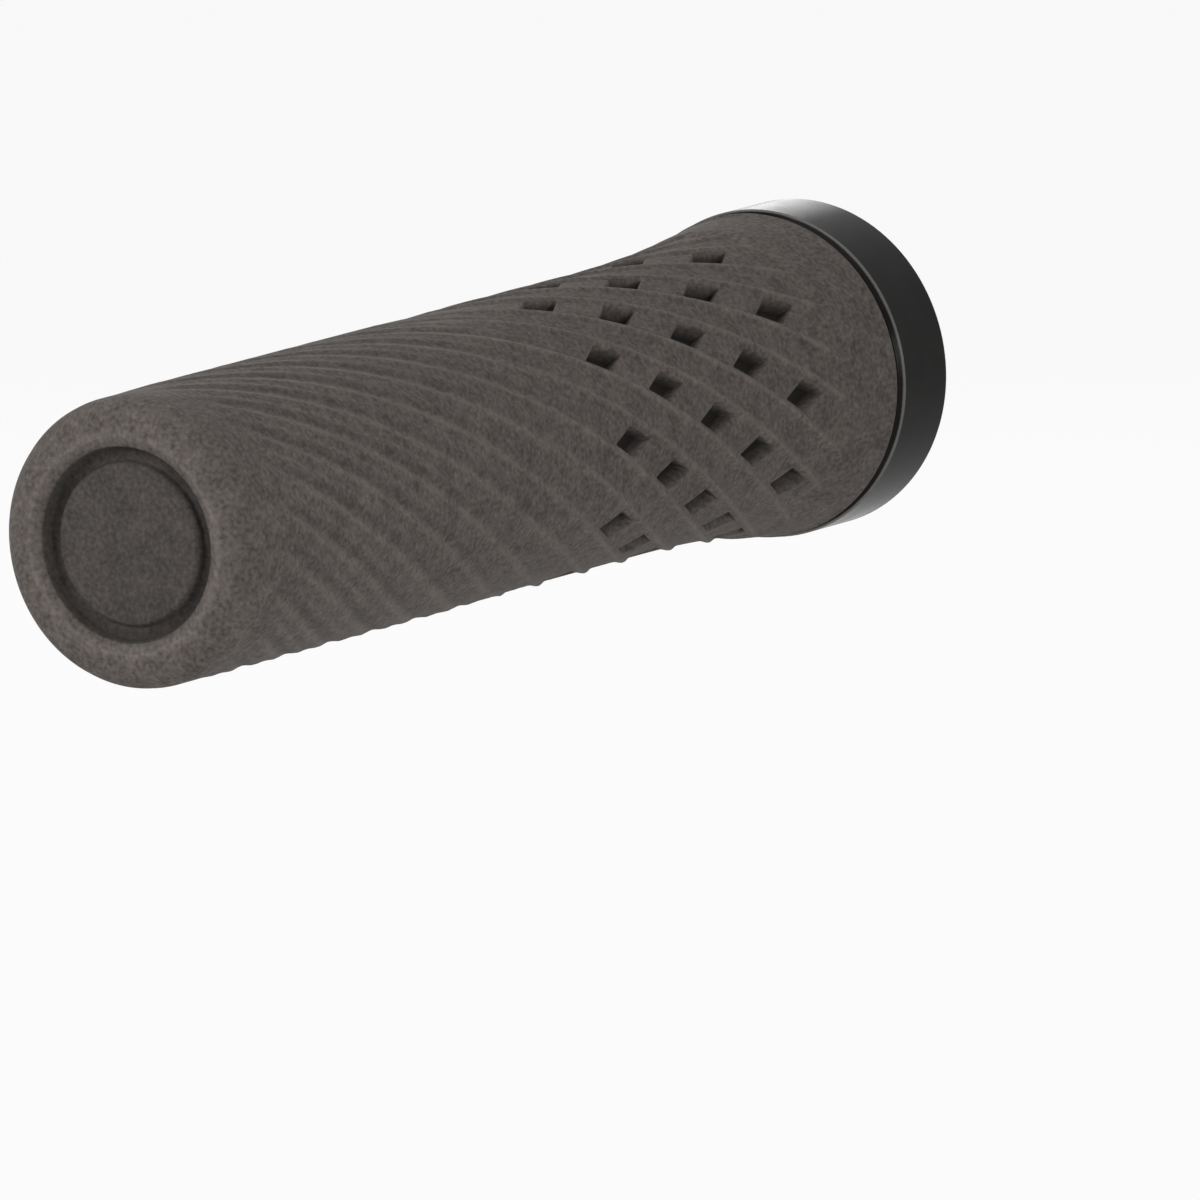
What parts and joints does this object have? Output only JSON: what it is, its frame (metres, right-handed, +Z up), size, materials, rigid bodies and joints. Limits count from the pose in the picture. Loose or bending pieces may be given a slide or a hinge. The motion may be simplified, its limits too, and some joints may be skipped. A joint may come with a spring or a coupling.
{
  "type": "handlebar grip",
  "caption": "Right-hand lock-on bicycle grip: rubber sleeve with helical ribs, pits and a closed end, on a hard tube that a split collar clamps to the handlebar.",
  "frame": {"origin": "centre of the bore's mouth, in the inner face of the clamp collar", "axes": "+X along the handlebar, from the closed outer end to the bore's mouth; +Z up as ridden"},
  "size_m": [0.1372, 0.0384, 0.0354],
  "materials": {
    "rubber": "matte, finely grained",
    "core": "matte",
    "collar": "gloss black anodised",
    "screw": "black oxide"
  },
  "bodies": {
    "root": {"grip_sleeve": "rubber", "core_tube": "core", "clamp_collar": "collar", "clamp_screw": "screw"}
  },
  "joints": []
}
